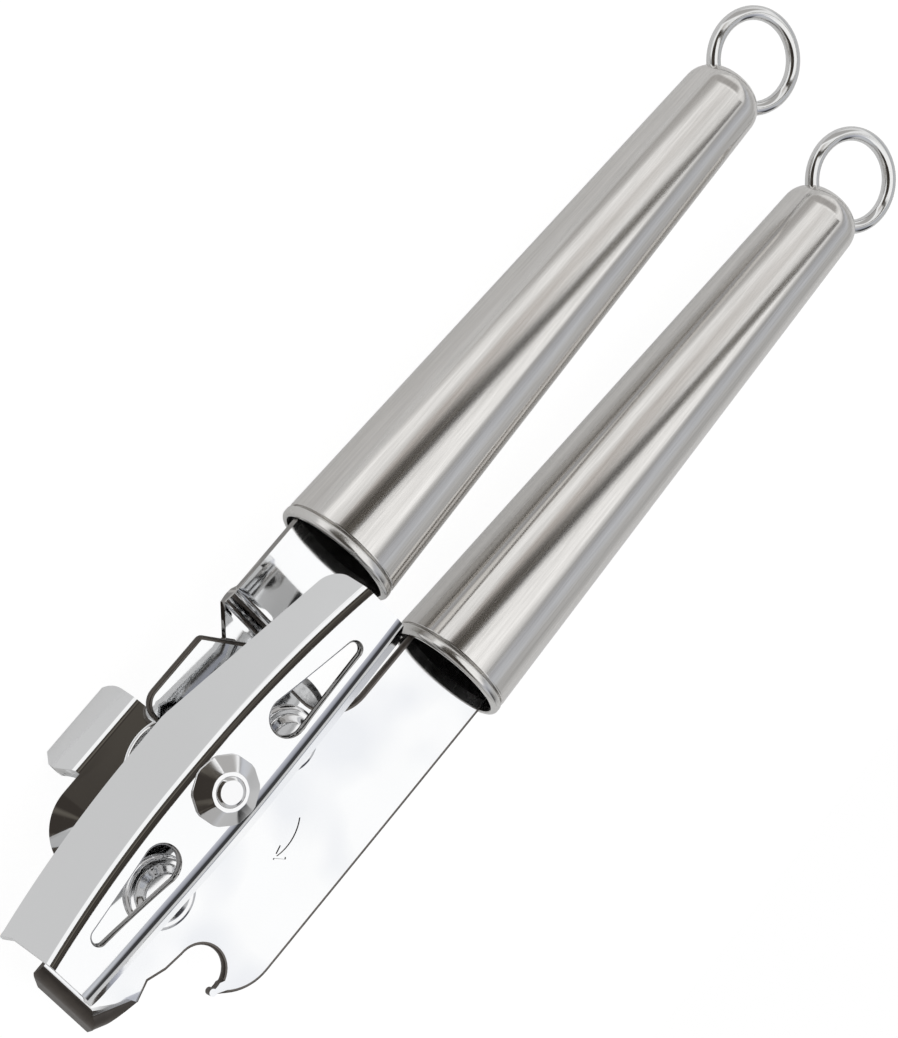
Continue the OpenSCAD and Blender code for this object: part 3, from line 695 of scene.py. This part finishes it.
def lower_normal(p):
    """The lower plate's front normal: two rolled lips that meet at a mitre, and the tilted lobe."""
    flat = Vector((p.x, p.y))
    run = (NOSE_SIDE - NOSE_CORNER).normalized()
    out = Vector((run.y, -run.x))
    beyond = (flat - NOSE_CORNER).dot(out)
    front = -NOSE_Y - p.y
    bearing = math.degrees(math.atan2(flat.y - NOSE_CORNER.y, flat.x - NOSE_CORNER.x))
    if beyond > 0 and bearing > MITRE and p.y < NOSE_SIDE.y + 3:
        mitre_turn = math.radians(MITRE - math.degrees(math.atan2(run.y, run.x)) + 90)
        widen = math.cos(mitre_turn) / -math.sin(math.radians(MITRE))
        a = math.asin(min(beyond / widen / LIP_R, math.sin(math.radians(LIP_ROLL))))
        return leaning(out.x, out.y, math.atan(math.tan(a) / widen))
    if front > 0 and p.x < LIP_TO:
        return leaning(0, -1, math.asin(min(front / LIP_R, math.sin(math.radians(LIP_ROLL)))))
    lobe = (share(LOBE_X[0] - p.x, LOBE_X[1]) * share(LOBE_TOP[0] - p.y, LOBE_TOP[1])
            * share(p.y - LOBE_FOOT[0], LOBE_FOOT[1]))
    return leaning(-1, 0, math.radians(LOBE_FALL * lobe))


WING = [(DISH_IN - 0.9, 0), (DISH_IN + 0.8, DISH_SLOPE), (WING_OUT - 0.75, DISH_SLOPE),
        (WING_OUT + 0.2, TAB_SLOPE)]
STEP = math.degrees(math.atan2(JOGGLE_FALL, JOGGLE_RUN))
JOGGLE = [(JOGGLE_Y - JOGGLE_RUN - 1, 0), (JOGGLE_Y - JOGGLE_RUN + 0.61, STEP), (JOGGLE_Y - 0.61, STEP),
          (JOGGLE_Y + 1, 0)]


def dish_normal(p):
    """The dish's round end: its slope falls away from DISH_AT."""
    away = Vector((p.x, p.y)) - DISH_AT
    a = math.radians(eased_angle(away.length, WING[:3]))
    away.normalize()
    return leaning(away.x, away.y, a)


def upper_normal(p):
    """The upper plate's front normal: the step down to the head, the dish and the rim tab."""
    if p.y > JOGGLE_Y - JOGGLE_RUN - 1.4:
        return leaning(0, -1, math.radians(eased_angle(p.y, JOGGLE)))
    if p.x < DISH_AT.x and p.y < TAB_TOP + 0.3:
        if p.y > DISH_AT.y:
            stops = WING if p.y > TAB_END - 2 else WING[:3]
            return leaning(-1, 0, math.radians(eased_angle(DISH_AT.x - p.x, stops)))
        return dish_normal(p)
    if p.y < DISH_AT.y and p.x < DISH_AT.x + 3:
        return dish_normal(p)
    return Vector((0, 0, 1))


# The lower plate's outline is rounded by RIM_R, but for these places
ARROW_AT, ARROW_CLEAR = Vector((13.4, 3.2)), 9.3
HOOK_TIP, TIP_CLEAR = Vector((27.05, -20.2)), 1.3
RIM_R, RIM_FROM = 0.6, -28.8


def plate_rim(p):
    """On either face of the lower plate's outline, away from the engraved arrow and the rolled nose."""
    level = min(abs(p.z), abs(p.z + PLATE_T)) < 0.01
    flat = Vector((p.x, p.y))
    return (level and p.y > RIM_FROM and (flat - ARROW_AT).length > ARROW_CLEAR
            and (flat - HOOK_TIP).length > TIP_CLEAR)


def above_tab(p):
    """Between the rim tab and the tube, where the sheet's edges are painted greyer as a darker reflection.
    """
    return p.y > TAB_TOP + 3


lower = dress("lower_plate", 0, mat=plate_steel, smooth=32, rims=(plate_rim, RIM_R))
swap_normals(lower, lower_normal, PLATE_T)
upper = dress("upper_plate", 0.12, 40, mat=edged_steel, smooth=32)
swap_normals(upper, upper_normal, PLATE_T, rim=above_tab)

# ---------- pivots and drive ----------
BOSS_R, BOSS_TOP_R, BOSS_H, BOSS_FOOT = 5.45, 3.0, 1.9, 0.35
BOSS_SIDES, BOSS_TURN = 10, math.radians(9)
BOSS_STEP = 2 * math.pi / BOSS_SIDES


def boss_reach(r, a):
    """The boss's radius at the angle a: round at its hole, flat-sided below, between the two on top."""
    if r == HOLE_R:
        return r
    off = (a - BOSS_TURN) % BOSS_STEP - BOSS_STEP / 2
    flat_r = r * math.cos(BOSS_STEP / 2) / math.cos(off)
    return flat_r if r > BOSS_TOP_R else r * 0.5 + 0.5 * flat_r


def boss_nut():
    """The faceted boss on the key's web, around the shaft's end."""
    bm = bmesh.new()
    base = ORIGIN + Vector((0, 0, KEY_Z))
    rows = []
    for r, z in ((HOLE_R, 0), (BOSS_R, 0), (BOSS_R, BOSS_FOOT), (BOSS_TOP_R, BOSS_H), (HOLE_R, BOSS_H)):
        row = []
        for k in range(BOSS_SIDES * 4):
            a = BOSS_STEP * (k + 0.5) / 4 + BOSS_TURN
            reach = boss_reach(r, a)
            row.append(bm.verts.new((base + Vector((reach * math.cos(a), reach * math.sin(a), z))) * MM))
        rows.append(row)
    join_rows(bm, rows + [rows[0]])
    bmesh.ops.recalc_face_normals(bm, faces=bm.faces)
    bmesh.ops.dissolve_limit(bm, angle_limit=math.radians(1.2), verts=bm.verts, edges=bm.edges)
    boss = new_object("boss_nut", bm)
    bevelled(boss, 0.1, 15, smooth=14)
    finish_piece(boss, "key_boss")


boss_nut()
for node, width in (("key_washer", 0.1), ("drive_shaft", 0.07), ("drive_bushing", 0.1),
                    ("feed_wheel", 0.1), ("hinge_rivet", 0.2), ("hinge_washer", 0.1),
                    ("cutter_stud", 0.2), ("cutting_wheel", 0.06), ("cutter_washer", 0.1)):
    dress(node, width, 28, smooth=24)

# ---------- camera ----------
# Its axes and its place (mm from ORIGIN), and its sensor's width and lens in mm
CAMERA_RIGHT = Vector((0.6190499, 0.6205220, 0.4816225))
CAMERA_DOWN = Vector((0.6649334, -0.7404277, 0.0992898))
CAMERA_BACK = Vector((-0.4180829, -0.2587334, 0.8707887))
CAMERA_AT = Vector((-217.8411, -82.6865, 467.7276))
SENSOR, LENS = 36, 142.4504
cam_data = bpy.data.cameras.new("camera")
cam = link("camera", cam_data)
turn = Matrix((CAMERA_RIGHT, -CAMERA_DOWN, CAMERA_BACK)).transposed()
cam.matrix_world = Matrix.Translation((CAMERA_AT + ORIGIN) * MM) @ turn.to_4x4()
cam_data.sensor_fit = "HORIZONTAL"
cam_data.sensor_width = SENSOR
cam_data.lens = LENS
cam_data.clip_start = 0.01
cam_data.clip_end = 20
scene.camera = cam


# ---------- stage ----------
def quad(name, corners, mat, camera=True):
    """A flat stage object through the corners."""
    bm = bmesh.new()
    bm.faces.new([bm.verts.new(Vector(c) * MM) for c in corners])
    mesh = bpy.data.meshes.new(name)
    bm.to_mesh(mesh)
    bm.free()
    obj = link(name, mesh)
    mesh.materials.append(mat)
    obj.visible_camera = camera
    return obj


def emission(name, colour, strength=1.0):
    """A material that only glows."""
    mat = bpy.data.materials.new(name)
    mat.use_nodes = True
    tree = mat.node_tree
    tree.nodes.clear()
    out = add(tree, "ShaderNodeOutputMaterial")
    emit = add(tree, "ShaderNodeEmission")
    emit.inputs["Color"].default_value = (*colour, 1)
    emit.inputs["Strength"].default_value = strength
    tree.links.new(emit.outputs[0], out.inputs[0])
    return mat


def grey(v, warm=0.0):
    """Grey of brightness v, a little warmer by the share warm."""
    return (v * (1 + warm), v, v * (1 - warm))


def floor_material():
    """A white floor that keeps a faint shadow; to the metal above it is a pale grey sheet."""
    mat, tree, bsdf = new_material("floor")
    bsdf.inputs["Roughness"].default_value = 0.9
    bsdf.inputs["Specular IOR Level"].default_value = 0.0
    seen = add(tree, "ShaderNodeLightPath").outputs["Is Camera Ray"]
    tree.links.new(mix(tree, seen, grey(0.62), grey(0.2)), bsdf.inputs["Base Color"])
    bsdf.inputs["Emission Color"].default_value = (1, 1, 1, 1)
    tree.links.new(remap(tree, seen, 0, 1, 0.3, 0.93), bsdf.inputs["Emission Strength"])
    return mat


def dark_room():
    """The unlit side of the room: brown-black with soft lighter shapes in it."""
    mat = emission("dark_side", (0.05, 0.045, 0.04))
    tree = mat.node_tree
    glow = next(n for n in tree.nodes if n.type == "EMISSION")
    shapes = remap(tree, noise(tree, stretched(tree, (9, 5, 9)), 1.0, 2.0, 0.4), 0.5, 0.75, 0, 1)
    tree.links.new(mix(tree, shapes, (0.042, 0.036, 0.031), (0.17, 0.155, 0.13)), glow.inputs["Color"])
    return mat


FLOOR_Z = -ORIGIN.z - 0.05
FLOOR = [(-95, -160), (100, -160), (100, 200), (-95, 200)]
quad("floor", [ORIGIN + Vector((x, y, FLOOR_Z)) for x, y in FLOOR], floor_material())

# A softbox and the dark side of the room, above the object. The camera does not see them.
CARD_Z = 500
edge_between = [(-285, 194), (-150, 238), (0, 280), (130, 330), (262, 398)]
near_corner = [(60, -160), (-133, 83)]
softbox = (edge_between + [(300, 330), (236, 240), (222, 190), (300, 172), (460, 150), (460, -160)]
           + near_corner)
dark_side = (edge_between + [(262, 442), (130, 386), (0, 344), (-100, 311), (-215, 300), (-500, 304),
                             (-820, 304), (-880, 100), (-900, -500), (-500, -900), (300, -900), (420, -330)]
             + near_corner)
for name, outline, mat, z in (("softbox", softbox, emission("softbox", (1, 1, 1), 1.12), CARD_Z),
                              ("dark_side", dark_side, dark_room(), CARD_Z + 6)):
    quad(name, [ORIGIN + Vector((x, y, z)) for x, y in outline], mat, camera=False)

# The rest of the studio, as (degrees about the part's length from straight up, colour): most of the
# room, and the band that the directions square to the part's length meet
ACROSS = [(-178, grey(0.6)), (-100, grey(0.62)), (-88, grey(0.5)), (-72, grey(0.56)),
          (-58, (0.64, 0.66, 0.70)), (-44, (0.50, 0.51, 0.54)), (-36, grey(0.42)), (-28, grey(0.9)),
          (-16, grey(1.0)), (10, grey(1.0)), (50, (0.60, 0.56, 0.53)), (60, grey(0.95)), (66, grey(1.05)),
          (84, grey(1.05)), (90, grey(0.66)), (178, grey(0.62))]
BAND_ACROSS = [(-178, grey(0.6)), (-96, grey(0.62)), (-92, grey(0.05)), (-70, (0.045, 0.045, 0.05)),
               (-62, (0.30, 0.31, 0.35)), (-48, (0.50, 0.51, 0.57)), (-36, (0.80, 0.81, 0.86)),
               (-28, grey(1.0)), (10, grey(1.0)), (50, (0.60, 0.56, 0.53)), (56, grey(0.95)),
               (60, grey(1.05)), (81.5, grey(1.05)), (86, grey(0.64)), (178, grey(0.62))]
# The upper left of the room, as (place from the head's end to the handles', 0 to 1 on a slant, colour)
ALONG = [(0.590, grey(0.64)), (0.608, grey(1.1)), (0.646, grey(1.1)), (0.667, grey(0.46, 0.02)),
         (0.86, grey(0.46, 0.02)), (0.92, grey(0.9))]


def ramp_node(tree, value, stops):
    """A colour ramp through (place, colour) stops."""
    node = add(tree, "ShaderNodeValToRGB")
    tree.links.new(value, node.inputs[0])
    ramp = node.color_ramp
    for place, colour in stops:
        element = ramp.elements.new(place)
        element.color = (*colour, 1)
    ramp.elements.remove(ramp.elements[0])
    ramp.elements.remove(ramp.elements[-1])
    return node.outputs[0]


def studio():
    """The room's light: grey ramps across and along the part, and a light grey wall at its head end.

    The camera sees only white.
    """
    world = bpy.data.worlds.new("studio")
    world.use_nodes = True
    tree = world.node_tree
    tree.nodes.clear()
    out = add(tree, "ShaderNodeOutputWorld")
    background = add(tree, "ShaderNodeBackground")
    tree.links.new(background.outputs[0], out.inputs[0])
    direction = add(tree, "ShaderNodeTexCoord").outputs["Generated"]
    x, y, z = split(tree, direction)
    turn = remap(tree, maths(tree, "ARCTAN2", maths(tree, "MULTIPLY", x, -1), z), -math.pi, math.pi, 0, 1)
    most, band = (ramp_node(tree, turn, [((d + 180) / 360, c) for d, c in stops])
                  for stops in (ACROSS, BAND_ACROSS))
    in_band = maths(tree, "MULTIPLY", remap(tree, y, 0.24, 0.19, 0, 1), remap(tree, y, -0.12, -0.02, 0, 1))
    across = mix(tree, in_band, most, band)
    slant = add(tree, "ShaderNodeVectorMath", operation="DOT_PRODUCT")
    tree.links.new(direction, slant.inputs[0])
    slant.inputs[1].default_value = (0, 1, -0.33)
    along = ramp_node(tree, remap(tree, slant.outputs["Value"], -1, 1, 0, 1), ALONG)
    left = remap(tree, x, 0.1, -0.05, 0, 1)
    upper_part = remap(tree, slant.outputs["Value"], 0.17, 0.21, 0, 1)
    above = maths(tree, "MULTIPLY", upper_part, remap(tree, z, 0.0, 0.035, 0, 1))
    sides = mix(tree, maths(tree, "MULTIPLY", left, above), across, along)
    room = mix(tree, remap(tree, y, -0.55, -0.7, 0, 1), sides, (0.46, 0.455, 0.45))
    seen = add(tree, "ShaderNodeLightPath").outputs["Is Camera Ray"]
    tree.links.new(mix(tree, seen, room, (1, 1, 1)), background.inputs["Color"])
    background.inputs["Strength"].default_value = 1.0
    return world


scene.world = studio()
scene.view_settings.view_transform = "Standard"
